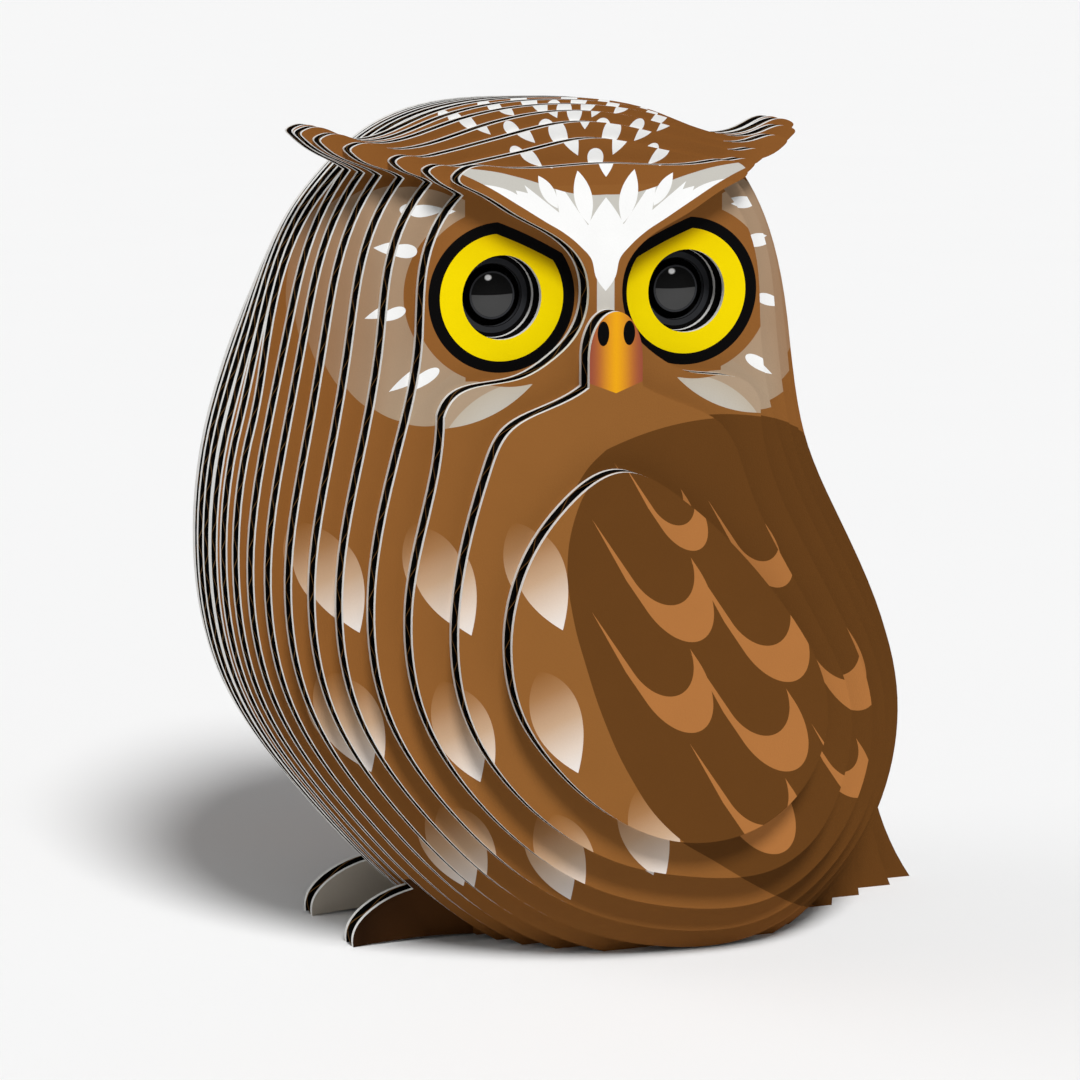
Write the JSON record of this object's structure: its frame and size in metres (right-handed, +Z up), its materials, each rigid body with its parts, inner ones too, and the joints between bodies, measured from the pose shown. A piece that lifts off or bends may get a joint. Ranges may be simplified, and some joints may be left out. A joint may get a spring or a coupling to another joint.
{
  "type": "stacked cardboard owl figure",
  "caption": "Small standing owl built from cut corrugated card boards glued face to face, with ear tufts, hooked beak, round eye holes, claws and a short tail.",
  "frame": {"origin": "on the table under the middle of the owl's bounding box", "axes": "+Z up; the head looks along -Y, breast and claws are at -X, tail at +X; the boards are stacked along Y"},
  "size_m": [0.0584, 0.048, 0.064],
  "materials": {
    "printed_board": "matt printed paper faces, pale cut edges",
    "fluted_paper": "raw brown fluting paper",
    "pupil_card": "satin black printed paper"
  },
  "bodies": {
    "root": {"front_board_01_tail": "printed_board", "front_flute_01": "fluted_paper", "front_board_02_tail": "printed_board", "front_flute_02": "fluted_paper", "front_board_03_claw": "printed_board", "front_flute_03": "fluted_paper", "front_board_04_tuft": "printed_board", "front_flute_04": "fluted_paper", "front_board_05_tuft": "printed_board", "front_flute_05": "fluted_paper", "front_board_06_tuft": "printed_board", "front_flute_06": "fluted_paper", "front_board_07_tuft": "printed_board", "front_flute_07": "fluted_paper", "front_board_08_tuft": "printed_board", "front_flute_08": "fluted_paper", "front_board_09_eyes": "printed_board", "front_flute_09": "fluted_paper", "front_board_10_brow": "printed_board", "front_flute_10": "fluted_paper", "front_board_11_beak": "printed_board", "front_flute_11": "fluted_paper", "front_board_12_wing": "printed_board", "front_flute_12": "fluted_paper", "back_board_01_tail": "printed_board", "back_flute_01": "fluted_paper", "back_board_02_tail": "printed_board", "back_flute_02": "fluted_paper", "back_board_03_claw": "printed_board", "back_flute_03": "fluted_paper", "back_board_04_head": "printed_board", "back_flute_04": "fluted_paper", "back_board_05_head": "printed_board", "back_flute_05": "fluted_paper", "back_board_06_head": "printed_board", "back_flute_06": "fluted_paper", "back_board_07_head": "printed_board", "back_flute_07": "fluted_paper", "back_board_08_head": "printed_board", "back_flute_08": "fluted_paper", "back_board_09_head": "printed_board", "back_flute_09": "fluted_paper", "back_board_10_head": "printed_board", "back_flute_10": "fluted_paper", "back_board_11_head": "printed_board", "back_flute_11": "fluted_paper", "back_board_12_wing": "printed_board", "back_flute_12": "fluted_paper", "pupil_disc_left": "pupil_card", "pupil_disc_right": "pupil_card"}
  },
  "joints": []
}
